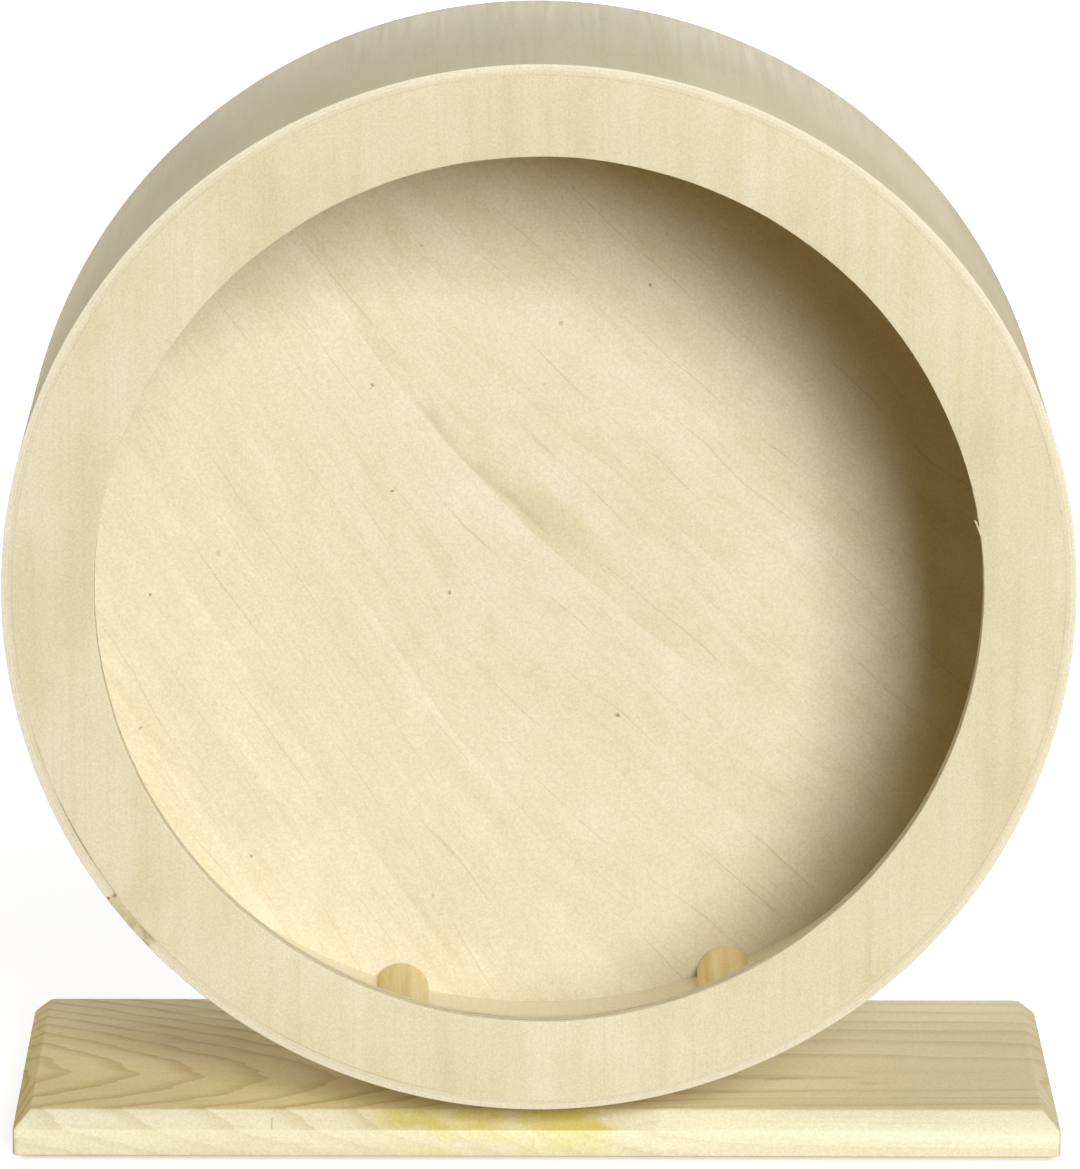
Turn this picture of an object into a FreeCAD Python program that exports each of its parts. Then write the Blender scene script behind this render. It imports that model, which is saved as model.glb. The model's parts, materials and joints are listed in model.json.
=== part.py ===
"""Rodent exercise wheel: a plywood drum that turns on a steel axle in front of a pine stand.

Millimetres, +Z up, +Y to the back. The origin is the middle of the base board's underside.
"""
import FreeCAD, Part
import math
import os

# Drum
wheel_diameter = 290.0
drum_depth = 103.0
rim_thickness = 2.7
scarf_length = 17.0
scarf_angle = -51.0
ring_thickness = 6.0
ring_border = 25.0
opening_edge_bevel = 0.5
disc_thickness = 8.0
glue_line = 0.1

# Rungs on the running floor; angles are from straight down, positive towards +X
rung_count = 9
rung_radius = 8.0
rung_rise = 6.1
rung_end_gap = 0.1
seen_pair_left_angle = -15.4
seen_pair_right_angle = 21.9

# Stand
base_length = 288.7
base_depth = 115.2
base_thickness = 12.4
base_bevel = 4.9
base_corner_round = 1.5
drum_to_base_gap = 4.2
post_width = 90.0
post_thickness = 12.4
post_edge_bevel = 1.0
post_to_bevel_margin = 0.6

# Axle, bushes and fasteners
axle_diameter = 8.0
running_clearance = 0.06
press_clearance = 0.02
side_play = 0.15
plate_diameter = 50.0
plate_thickness = 2.0
bush_wall = 1.5
bush_flange_lip = 2.5
bush_flange_thickness = 1.0
bush_middle_gap = 0.5
washer_lip = 4.0
washer_thickness = 1.0
nut_wall = 2.5
nut_height = 8.0
nut_collar_height = 1.6
nut_collar_step = 0.6
axle_end_past_nut = 2.0
screw_clearance = 0.05

post_screw_count = 2
post_screw_edge_margin = 22.0
post_screw_head_diameter = 8.0
post_screw_shank_diameter = 4.0
post_screw_length = 40.0
post_screw_head_recess = 0.6

plate_screw_count = 3
plate_screw_edge_margin = 7.0
plate_screw_head_diameter = 5.6
plate_screw_shank_diameter = 3.0
plate_screw_length = 8.0

# Places worked out from the sizes above
wheel_radius = wheel_diameter / 2
floor_radius = wheel_radius - rim_thickness
panel_radius = floor_radius - glue_line
opening_radius = wheel_radius - ring_border
axis_height = base_thickness + drum_to_base_gap + wheel_radius

base_back = base_depth / 2
post_back = base_back - base_bevel - post_to_bevel_margin
post_front = post_back - post_thickness
front_flange_front = post_front - bush_flange_thickness
front_washer_front = front_flange_front - side_play - washer_thickness
plate_front = front_washer_front - plate_thickness
drum_back = plate_front
drum_front = drum_back - drum_depth
ring_back = drum_front + ring_thickness
disc_front = drum_back - disc_thickness
rear_washer_front = post_back + bush_flange_thickness + side_play
nut_front = rear_washer_front + washer_thickness
axle_end = nut_front + nut_height + axle_end_past_nut

axle_radius = axle_diameter / 2
bush_bore_radius = axle_radius + running_clearance
bush_radius = bush_bore_radius + bush_wall
flange_radius = bush_radius + bush_flange_lip
post_bore_radius = bush_radius + press_clearance
bush_length = (post_thickness - bush_middle_gap) / 2
washer_radius = axle_radius + washer_lip
nut_across_flats = axle_diameter + 2 * nut_wall
plate_screw_circle_radius = plate_diameter / 2 - plate_screw_edge_margin

up = FreeCAD.Vector(0, 0, 1)
backward = FreeCAD.Vector(0, 1, 0)
forward = FreeCAD.Vector(0, -1, 0)


def round_bar(radius, front, back, x=0.0, z=axis_height):
    """A cylinder along Y between two places."""
    return Part.makeCylinder(radius, back - front, FreeCAD.Vector(x, front, z), backward)


def tube(outer_radius, inner_radius, front, back):
    """A hollow cylinder along Y, round the wheel's axis."""
    return round_bar(outer_radius, front, back).cut(round_bar(inner_radius, front, back))


def on_wheel(radius, angle):
    """The x and z of a point at a radius from the wheel's axis, its angle taken from straight down."""
    turn = math.radians(angle)
    return radius * math.sin(turn), axis_height - radius * math.cos(turn)


def countersunk_screw(head_diameter, shank_diameter, length, recess=0.0, clearance=0.0):
    """A countersunk screw along +Z, its head's flat at z = 0; with a clearance, the hole for it."""
    head = head_diameter / 2 + clearance
    shank = shank_diameter / 2 + clearance
    profile = [(0, -recess), (head, -recess)]
    if recess > 0:
        profile.append((head, 0))
    profile += [(shank, head - shank), (shank, length + clearance), (0, length + clearance)]
    points = [FreeCAD.Vector(radius, 0, height) for radius, height in profile]
    outline = Part.makePolygon(points + points[:1])
    return Part.Face(outline).revolve(FreeCAD.Vector(0, 0, 0), up, 360)


def placed(shape, x, y, z, direction):
    """A copy of a shape made along +Z, moved to a point and turned to a direction."""
    copy = shape.copy()
    copy.Placement = FreeCAD.Placement(FreeCAD.Vector(x, y, z), FreeCAD.Rotation(up, direction))
    return copy


def post_screw_places():
    """The x of each post screw, spread evenly between the margins at the post's two edges."""
    span = post_width - 2 * post_screw_edge_margin
    return [span * (i / (post_screw_count - 1) - 0.5) for i in range(post_screw_count)]


def plate_screw_places():
    """The x and z of each plate screw on its circle, the first one half a step from straight down."""
    step = 360 / plate_screw_count
    return [on_wheel(plate_screw_circle_radius, (i + 0.5) * step) for i in range(plate_screw_count)]


def post_screws(clearance=0.0, recess=0.0):
    """The screws up through the base into the post, or their holes."""
    screw = countersunk_screw(post_screw_head_diameter, post_screw_shank_diameter, post_screw_length,
                              recess, clearance)
    middle = (post_front + post_back) / 2
    return [placed(screw, x, middle, post_screw_head_recess, up) for x in post_screw_places()]


def plate_screws(clearance=0.0):
    """The screws through the axle plate into the back disc, or their holes."""
    screw = countersunk_screw(plate_screw_head_diameter, plate_screw_shank_diameter, plate_screw_length,
                              0.0, clearance)
    plate_back = plate_front + plate_thickness
    return [placed(screw, x, plate_back, z, forward) for x, z in plate_screw_places()]


def front_ring():
    """The flat ring at the front of the drum, its opening's front edge lightly bevelled."""
    ring = tube(panel_radius, opening_radius, drum_front, ring_back)
    opening = [edge for edge in ring.Edges if edge.Closed and edge.BoundBox.YMax < ring_back - glue_line
               and edge.BoundBox.XMax < panel_radius - glue_line]
    return ring.makeChamfer(opening_edge_bevel, opening)


def rim_strip():
    """The bent strip round the drum, one length whose bevelled ends meet along a thin glue line."""
    strip = tube(wheel_radius, floor_radius, drum_front, drum_back)
    slant = math.degrees(math.atan2(rim_thickness, scarf_length))
    slit_length = 1.6 * math.hypot(scarf_length, rim_thickness)
    slit = Part.makeBox(slit_length, drum_depth, glue_line)
    slit.translate(FreeCAD.Vector(-slit_length / 2, drum_front, -glue_line / 2))
    x, z = on_wheel(wheel_radius - rim_thickness / 2, scarf_angle)
    slit.rotate(FreeCAD.Vector(0, 0, 0), forward, scarf_angle + slant)
    slit.translate(FreeCAD.Vector(x, 0, z))
    return strip.cut(slit)


def back_disc():
    """The closed disc at the back of the drum, with blind holes for the plate's screws."""
    disc = round_bar(panel_radius, disc_front, drum_back)
    return disc.cut(plate_screws(screw_clearance))


def rung_angles():
    """The pair that shows at the bottom of the drum, then the others in even steps round the rest."""
    rest = 360 - (seen_pair_right_angle - seen_pair_left_angle)
    step = rest / (rung_count - 1)
    return [seen_pair_left_angle] + [seen_pair_right_angle + i * step for i in range(rung_count - 1)]


def rung(angle):
    """A half-round bar, its underside planed to the curve of the floor that it is glued to."""
    centre_radius = floor_radius - rung_rise + rung_radius
    x, z = on_wheel(centre_radius, angle)
    front = ring_back + rung_end_gap
    back = disc_front - rung_end_gap
    return round_bar(rung_radius, front, back, x, z).common(round_bar(panel_radius, front, back))


def base_board():
    """The plank, mitre-bevelled along its top edges and softened at its four corners."""
    corner = FreeCAD.Vector(-base_length / 2, -base_depth / 2, 0)
    plank = Part.makeBox(base_length, base_depth, base_thickness, corner)
    top_edges = [edge for edge in plank.Edges if edge.BoundBox.ZMin > base_thickness / 2]
    corner_edges = [edge for edge in plank.Edges if edge.BoundBox.ZLength > base_thickness / 2]
    bevelled = plank.makeChamfer(base_bevel, top_edges)
    board = plank.makeFillet(base_corner_round, corner_edges).common(bevelled)
    return board.cut(post_screws(screw_clearance, post_screw_head_recess))


def upright_post():
    """The board behind the drum, with a round top about the axle's bore."""
    half = post_width / 2
    foot_left = FreeCAD.Vector(-half, post_front, base_thickness)
    foot_right = FreeCAD.Vector(half, post_front, base_thickness)
    shoulder_left = FreeCAD.Vector(-half, post_front, axis_height)
    shoulder_right = FreeCAD.Vector(half, post_front, axis_height)
    crown = FreeCAD.Vector(0, post_front, axis_height + half)
    outline = Part.Wire([
        Part.LineSegment(foot_left, foot_right).toShape(),
        Part.LineSegment(foot_right, shoulder_right).toShape(),
        Part.Arc(shoulder_right, crown, shoulder_left).toShape(),
        Part.LineSegment(shoulder_left, foot_left).toShape(),
    ])
    board = Part.Face(outline).extrude(backward * post_thickness)
    rims = [edge for edge in board.Edges
            if edge.BoundBox.YLength < glue_line and edge.BoundBox.ZLength > glue_line]
    board = board.makeChamfer(post_edge_bevel, rims)
    board = board.cut(round_bar(post_bore_radius, post_front, post_back))
    return board.cut(post_screws(screw_clearance))


def flanged_bush(flange_outer_face, inward):
    """A bush whose flange lies on the post's face; inward is +1 from the front and -1 from the back."""
    flange_inner_face = flange_outer_face + inward * bush_flange_thickness
    sleeve_end = flange_inner_face + inward * bush_length
    flange_ends = sorted([flange_outer_face, flange_inner_face])
    sleeve_ends = sorted([flange_outer_face, sleeve_end])
    flange = tube(flange_radius, bush_bore_radius, *flange_ends)
    return flange.fuse(tube(bush_radius, bush_bore_radius, *sleeve_ends)).removeSplitter()


def axle_plate():
    """The round plate on the back disc with the stud that is the axle welded to it."""
    plate = round_bar(plate_diameter / 2, plate_front, plate_front + plate_thickness)
    stud = round_bar(axle_radius, plate_front, axle_end)
    return plate.fuse(stud).removeSplitter().cut(plate_screws(screw_clearance))


def washer(front):
    """A plain washer on the axle."""
    return tube(washer_radius, axle_radius + running_clearance, front, front + washer_thickness)


def lock_nut():
    """A hexagon nut with the round collar that holds its locking ring."""
    corner_radius = nut_across_flats / math.sqrt(3)
    collar_radius = nut_across_flats / 2 - nut_collar_step
    hexagon_back = nut_front + nut_height - nut_collar_height
    corners = [FreeCAD.Vector(corner_radius * math.cos(i * math.pi / 3), nut_front,
                              axis_height + corner_radius * math.sin(i * math.pi / 3)) for i in range(7)]
    hexagon = Part.Face(Part.makePolygon(corners)).extrude(backward * (hexagon_back - nut_front))
    nut = hexagon.fuse(round_bar(collar_radius, hexagon_back, nut_front + nut_height))
    return nut.cut(round_bar(axle_radius + running_clearance, nut_front, nut_front + nut_height))


nodes = {
    "base_board": base_board(),
    "upright_post": upright_post(),
    "post_screws": Part.makeCompound(post_screws()),
    "front_bush": flanged_bush(front_flange_front, 1),
    "rear_bush": flanged_bush(post_back + bush_flange_thickness, -1),
    "front_ring": front_ring(),
    "rim_strip": rim_strip(),
    "back_disc": back_disc(),
    "axle_plate": axle_plate(),
    "plate_screws": Part.makeCompound(plate_screws()),
    "front_washer": washer(front_washer_front),
    "rear_washer": washer(rear_washer_front),
    "lock_nut": lock_nut(),
}
for number, angle in enumerate(rung_angles(), start=1):
    nodes[f"rung_{number:02d}"] = rung(angle)

os.makedirs("parts", exist_ok=True)
for name, shape in nodes.items():
    shape.exportStep(f"parts/{name}.step")
    box = shape.BoundBox
    print(f"{name}: {len(shape.Solids)} solids, valid {shape.isValid()}, {shape.Volume / 1000:.2f} cm3,"
          f" x {box.XMin:.2f} to {box.XMax:.2f}, y {box.YMin:.2f} to {box.YMax:.2f},"
          f" z {box.ZMin:.2f} to {box.ZMax:.2f}")
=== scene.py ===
"""How the rodent exercise wheel looks: fine meshes with wood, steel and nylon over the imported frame.

Metres, in the part's frame: the origin is the middle of the base's underside, +Z is up and +Y is the back.
"""
import json
import math

import bmesh
import bpy
from mathutils import Matrix, Vector, noise


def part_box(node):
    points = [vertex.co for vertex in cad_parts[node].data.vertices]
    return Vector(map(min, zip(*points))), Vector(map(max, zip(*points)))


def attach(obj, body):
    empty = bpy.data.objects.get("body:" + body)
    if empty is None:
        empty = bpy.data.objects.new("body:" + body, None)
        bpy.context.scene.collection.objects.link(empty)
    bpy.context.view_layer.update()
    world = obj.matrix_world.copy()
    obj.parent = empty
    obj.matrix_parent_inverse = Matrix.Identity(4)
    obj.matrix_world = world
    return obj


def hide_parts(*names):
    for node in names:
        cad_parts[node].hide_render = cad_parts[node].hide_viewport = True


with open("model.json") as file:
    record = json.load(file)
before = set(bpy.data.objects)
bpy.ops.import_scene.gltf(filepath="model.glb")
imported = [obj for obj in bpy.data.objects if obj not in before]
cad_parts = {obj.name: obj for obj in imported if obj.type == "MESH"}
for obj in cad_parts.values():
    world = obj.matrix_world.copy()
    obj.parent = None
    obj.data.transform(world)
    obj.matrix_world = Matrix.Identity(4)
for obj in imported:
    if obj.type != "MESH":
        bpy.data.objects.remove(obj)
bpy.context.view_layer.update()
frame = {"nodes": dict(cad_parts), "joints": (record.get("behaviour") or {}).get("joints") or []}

MM = 0.001
DEGREE = math.radians(1)
WHITE = (1, 1, 1, 1)

# Sizes that only the looks need
arris = 0.25 * MM
round_steps = 720
scarf_middle = -50.5 * DEGREE
scarf_length = 17 * MM

# Places and sizes that the frame gives
rim_low, rim_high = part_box("rim_strip")
wheel_radius = min(rim_high.x, -rim_low.x)
axis_z = frame["joints"][0]["pos_m"][2]
drum_front = rim_low.y
drum_back = rim_high.y
ring_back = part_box("front_ring")[1].y
disc_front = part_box("back_disc")[0].y
base_low, base_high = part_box("base_board")
post_low, post_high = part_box("upright_post")


def corners(node):
    """Every corner of a CAD node's mesh, in the part's frame."""
    return [vertex.co.copy() for vertex in frame["nodes"][node].data.vertices]


def from_axis(point):
    """How far a point is from the wheel's axis."""
    return math.hypot(point.x, point.z - axis_z)


def radii(node):
    """The least and the greatest distance of a CAD node's corners from the wheel's axis."""
    distances = [from_axis(point) for point in corners(node)]
    return min(distances), max(distances)


opening_radius = radii("front_ring")[0]
floor_radius = radii("rim_strip")[0]
rim_thickness = wheel_radius - floor_radius
scarf_start = scarf_middle - scarf_length / wheel_radius / 2
scarf_end = scarf_middle + scarf_length / wheel_radius / 2
base_top = [point for point in corners("base_board") if point.z > base_high.z - arris]
base_bevel = base_high.x - max(point.x for point in base_top)
bevel_foot = base_high.z - base_bevel


def on_wheel(radius, angle, y):
    """A point on the wheel. The angle runs from straight down towards +X."""
    return Vector((radius * math.sin(angle), y, axis_z - radius * math.cos(angle)))


# Meshes


def linked(name, data):
    """A new object in the scene."""
    thing = bpy.data.objects.new(name, data)
    bpy.context.collection.objects.link(thing)
    return thing


def face_outwards(mesh):
    """Joins points that coincide, turns faces outwards, and shades smoothly across all but sharp edges."""
    shape = bmesh.new()
    shape.from_mesh(mesh)
    bmesh.ops.remove_doubles(shape, verts=shape.verts, dist=0.001 * MM)
    bmesh.ops.recalc_face_normals(shape, faces=shape.faces)
    shape.to_mesh(mesh)
    shape.free()
    mesh.shade_smooth()
    mesh.set_sharp_from_angle(angle=38 * DEGREE)


def mesh_object(name, points, faces, slots=None, grain=None):
    """A smooth object. slots holds each face's material number, grain a vector for each point."""
    mesh = bpy.data.meshes.new(name)
    mesh.from_pydata(points, [], faces)
    if slots:
        mesh.polygons.foreach_set("material_index", slots)
    if grain:
        layer = mesh.attributes.new("grain", "FLOAT_VECTOR", "POINT")
        layer.data.foreach_set("vector", [value for vector in grain for value in vector])
    face_outwards(mesh)
    return linked(name, mesh)


def shape_object(name, shape):
    """A smooth object made of a finished bmesh, which is let go."""
    mesh = bpy.data.meshes.new(name)
    shape.to_mesh(mesh)
    shape.free()
    face_outwards(mesh)
    return linked(name, mesh)


def bands(rows, count, closed=False):
    """Faces from each ring of count points to the next, and from the last to the first if closed."""
    faces = []
    for row in range(rows if closed else rows - 1):
        here = row * count
        onward = (row + 1) % rows * count
        for corner in range(count):
            following = (corner + 1) % count
            faces.append((here + corner, here + following, onward + following, onward + corner))
    return faces


def capped(rows, count):
    """Bands of faces, with one face over the first ring and one over the last."""
    last = (rows - 1) * count
    return bands(rows, count) + [tuple(range(count)), tuple(range(last, last + count))]


def stacked(name, loops):
    """Loops of points joined in order by bands of faces, with flat triangles over the first and the last."""
    count = len(loops[0])
    shape = bmesh.new()
    points = [shape.verts.new(point) for loop in loops for point in loop]
    for face in bands(len(loops), count):
        shape.faces.new([points[corner] for corner in face])
    for row in (points[:count], points[-count:]):
        rim = [shape.edges.get((row[number - 1], row[number])) for number in range(count)]
        bmesh.ops.triangle_fill(shape, edges=rim, use_beauty=True)
    return shape_object(name, shape)


def eased(outline, steps=3):
    """Rounds an outline's corners by their ease. Each is (radius, y, ease, slot of the stretch after it)."""
    rounded = []
    count = len(outline)
    for number, (radius, y, ease, slot) in enumerate(outline):
        if not ease:
            rounded.append((radius, y, slot))
            continue
        here = Vector((radius, y))
        before = Vector(outline[number - 1][:2]) - here
        after = Vector(outline[(number + 1) % count][:2]) - here
        start = here + before.normalized() * ease
        end = here + after.normalized() * ease
        slot_before = outline[number - 1][3]
        for step in range(steps + 1):
            share = step / steps
            bend = start * (1 - share) ** 2 + here * 2 * share * (1 - share) + end * share ** 2
            rounded.append((bend.x, bend.y, slot if share > 0.5 else slot_before))
    return rounded


def turned(name, outline, steps=round_steps, spot=on_wheel, wander=None):
    """A closed outline turned about an axis, the wheel's unless spot(radius, angle, along) gives another.

    wander(angle, radius) is how far a point moves outwards."""
    points = []
    for turn in range(steps):
        angle = math.tau * turn / steps
        for radius, along, _ in outline:
            shift = wander(angle, radius) if wander else 0
            points.append(spot(radius + shift, angle, along))
    slots = [slot for _, _, slot in outline] * steps
    return mesh_object(name, points, bands(steps, len(outline), closed=True), slots)


def about(middle):
    """A way to place turned points about an upright axis through a point."""
    def spot(radius, angle, height):
        return Vector((middle.x + radius * math.cos(angle), middle.y + radius * math.sin(angle), height))
    return spot


def cut(piece, cutter):
    """Cuts one piece's shape out of another and removes the cutter."""
    modifier = piece.modifiers.new("cut", "BOOLEAN")
    modifier.object = cutter
    modifier.solver = "EXACT"
    shape = piece.evaluated_get(bpy.context.evaluated_depsgraph_get())
    piece.data = bpy.data.meshes.new_from_object(shape)
    piece.modifiers.clear()
    bpy.data.objects.remove(cutter)
    face_outwards(piece.data)


def joined(name, pieces):
    """Several mesh objects made into one."""
    shape = bmesh.new()
    for piece in pieces:
        shape.from_mesh(piece.data)
        bpy.data.objects.remove(piece)
    return shape_object(name, shape)


def make_piece(piece, body, nodes, materials):
    """Fits a finished piece into the frame: its materials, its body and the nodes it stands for."""
    for material in materials:
        piece.data.materials.append(material)
    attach(piece, body)
    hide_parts(*nodes)


# Materials


def srgb(red, green, blue):
    """A colour written as on a screen, 0 to 255, as the linear values that a shader takes."""
    shares = [value / 255 for value in (red, green, blue)]
    linear = [share / 12.92 if share <= 0.04045 else ((share + 0.055) / 1.055) ** 2.4 for share in shares]
    return (*linear, 1)


class Tree:
    """The node tree of a material or a world, with a short call for each kind of node used here."""

    def __init__(self, owner):
        owner.use_nodes = True
        self.nodes = owner.node_tree.nodes
        self.links = owner.node_tree.links

    def feed(self, socket, value):
        """Links a socket to another node's output, or sets it to a plain value."""
        if isinstance(value, bpy.types.NodeSocket):
            self.links.new(value, socket)
        else:
            socket.default_value = value

    def filled(self, kind, values, **settings):
        """A new node with its settings made. values feeds its sockets, by name or by number."""
        node = self.nodes.new(kind)
        for name, setting in settings.items():
            setattr(node, name, setting)
        for key, value in values.items():
            self.feed(node.inputs[key], value)
        return node

    def math(self, operation, *values):
        """One step of arithmetic."""
        return self.filled("ShaderNodeMath", dict(enumerate(values)), operation=operation).outputs[0]

    def times(self, first, *others):
        """Values multiplied together."""
        for other in others:
            first = self.math("MULTIPLY", first, other)
        return first

    def minus(self, first, second):
        """One value less another."""
        return self.math("SUBTRACT", first, second)

    def scaled(self, value, factor, offset):
        """A value times a factor, plus an offset."""
        return self.math("MULTIPLY_ADD", value, factor, offset)

    def mix(self, share, first, second):
        """Two colours mixed by a share."""
        values = {"Factor": share, 6: first, 7: second}
        return self.filled("ShaderNodeMix", values, data_type="RGBA").outputs[2]

    def seen(self):
        """1 for the rays that show a background: the camera's, and those that metal or glass sends on."""
        path = self.nodes.new("ShaderNodeLightPath").outputs
        shown = self.math("MAXIMUM", path["Is Camera Ray"], path["Is Glossy Ray"])
        return self.math("MAXIMUM", shown, path["Is Transmission Ray"])


class Look(Tree):
    """One material's node tree, with the colour made so far."""

    def __init__(self, name):
        self.material = bpy.data.materials.new(name)
        super().__init__(self.material)
        self.shader = self.nodes["Principled BSDF"]
        self.place = self.nodes.new("ShaderNodeTexCoord").outputs["Object"]
        self.colour = WHITE

    def kept(self, name):
        """A vector that the mesh keeps at each of its points."""
        return self.filled("ShaderNodeAttribute", {}, attribute_name=name).outputs["Vector"]

    def parts(self, vector=None):
        """The three values of a vector, or of the shaded point's place."""
        return self.filled("ShaderNodeSeparateXYZ", {0: vector or self.place}).outputs[:]

    def vector(self, *values):
        """A vector of three values."""
        return self.filled("ShaderNodeCombineXYZ", dict(enumerate(values))).outputs[0]

    def vector_math(self, operation, *values):
        """One step of arithmetic on vectors that gives a vector."""
        values = dict(enumerate(values))
        return self.filled("ShaderNodeVectorMath", values, operation=operation).outputs["Vector"]

    def oval(self, point, middle, halves):
        """How far out a point is in an oval, 1 at its edge. Along a half size of 0 the oval has no end."""
        shape = [1 / half if half else 0 for half in halves]
        offset = self.vector_math("MULTIPLY", self.vector_math("SUBTRACT", point, middle), shape)
        return self.filled("ShaderNodeVectorMath", {0: offset}, operation="LENGTH").outputs["Value"]

    def from_axis(self):
        """How far the shaded point is from the wheel's axis."""
        return self.oval(self.place, (0, 0, axis_z), (1, 0, 1))

    def around_axis(self):
        """The shaded point's angle about the wheel's axis, from straight down towards +X."""
        x, _, z = self.parts()
        return self.math("ARCTAN2", x, self.minus(axis_z, z))

    def noise(self, cells, detail=2, roughness=0.5, at=None):
        """Smooth noise from 0 to 1, at the shaded point or another vector. cells go to a metre, each way."""
        vector = self.vector_math("MULTIPLY", at or self.place, cells)
        values = {"Vector": vector, "Scale": 1, "Detail": detail, "Roughness": roughness}
        return self.filled("ShaderNodeTexNoise", values).outputs[0]

    def ramp(self, value, low, high, lowest=0, highest=1):
        """A value taken smoothly from lowest at low to highest at high, and held beyond them."""
        ends = dict(enumerate((value, low, high, lowest, highest)))
        return self.filled("ShaderNodeMapRange", ends, interpolation_type="SMOOTHSTEP").outputs["Result"]

    def band(self, value, low, high, blur):
        """1 between low and high, falling to 0 outside them over blur."""
        rising = self.ramp(value, low - blur, low + blur)
        falling = self.ramp(value, high + blur, high - blur)
        return self.times(rising, falling)

    def brighten(self, times):
        """Multiplies the brightness of the colour."""
        values = {0: self.colour, "Scale": times}
        self.colour = self.filled("ShaderNodeVectorMath", values, operation="SCALE").outputs["Vector"]

    def paint(self, share, colour):
        """Mixes another colour over the colour by a share."""
        self.colour = self.mix(share, self.colour, colour)

    def bump(self, height, depth):
        """Sets the relief: depth in metres for a height of 1."""
        node = self.filled("ShaderNodeBump", {"Strength": 1, "Distance": depth, "Height": height})
        self.feed(self.shader.inputs["Normal"], node.outputs["Normal"])

    def finish(self, roughness, specular, metallic=0):
        """Sets the shader and returns the material."""
        self.feed(self.shader.inputs["Base Color"], self.colour)
        self.feed(self.shader.inputs["Roughness"], roughness)
        self.feed(self.shader.inputs["Specular IOR Level"], specular)
        self.feed(self.shader.inputs["Metallic"], metallic)
        return self.material

    def finish_wood(self, fibre):
        """Bare sanded wood: dull, speckled with pores, and with its fibres in light relief."""
        pores = self.noise((1500, 1500, 1500), 2, 0.6)
        self.brighten(self.ramp(pores, 0.25, 0.75, 0.93, 1.07))
        self.bump(fibre, 0.03 * MM)
        return self.finish(self.ramp(fibre, 0.2, 0.8, 0.7, 0.85), specular=0.1)


def ring_veneer():
    """The front ring's veneer: faint upright streaks, paler low down as painted light, and a broken glue line
    along the rim.

    The line shows most above the scarf joint, less below it, and faintly at the sides."""
    glue_width = 0.25 * MM
    above_length = 30 * DEGREE
    above_blur = 1 * DEGREE
    below_from = -36 * DEGREE
    below_to = -12 * DEGREE
    below_blur = 6 * DEGREE
    below_strength = 0.35
    sides_from = 30 * DEGREE
    sides_to = 45 * DEGREE
    sides_strength = 0.16
    painted_bounce_light_low_down = 1.03

    look = Look("ring_veneer")
    fibre = look.noise((800, 200, 20), 3, 0.6)
    streak = look.noise((150, 50, 14), 3)
    mottle = look.noise((34, 34, 24), 4, 0.6)
    tone = look.scaled(streak, 0.4, look.times(mottle, 0.6))
    look.colour = look.mix(look.ramp(tone, 0.3, 0.7), srgb(222, 211, 174), srgb(235, 227, 198))
    look.paint(look.ramp(fibre, 0.5, 0.75, 0, 0.12), srgb(196, 176, 130))
    z = look.parts()[2]
    # Painted light: the ring is paler low down, as if lit by the floor's bounce.
    paler = look.ramp(z, axis_z - floor_radius, axis_z - opening_radius / 2, painted_bounce_light_low_down, 1)
    look.brighten(paler)
    glue = look.ramp(look.from_axis(), floor_radius - 2 * glue_width, floor_radius - glue_width)
    angle = look.around_axis()
    above = look.ramp(angle, scarf_start - above_length, scarf_start)
    above = look.times(above, look.ramp(angle, scarf_start + above_blur, scarf_start))
    below = look.band(angle, below_from, below_to, below_blur)
    sides = look.ramp(look.math("ABSOLUTE", angle), sides_from, sides_to, 0, sides_strength)
    shown = look.math("MAXIMUM", look.scaled(below, below_strength, above), sides)
    broken = look.ramp(look.noise((40, 0, 40), 3), 0.35, 0.55, 0.3, 0.75)
    look.paint(look.times(glue, broken, shown), srgb(132, 112, 70))
    return look.finish_wood(fibre)


def inner_veneer():
    """The ring's face inside the drum: a coarser, browner veneer that hardly shows."""
    look = Look("inner_veneer")
    fibre = look.noise((600, 200, 18), 3, 0.6)
    streak = look.noise((120, 50, 12), 3)
    look.colour = look.mix(look.ramp(streak, 0.3, 0.7), srgb(196, 162, 104), srgb(212, 182, 126))
    return look.finish_wood(fibre)


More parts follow.
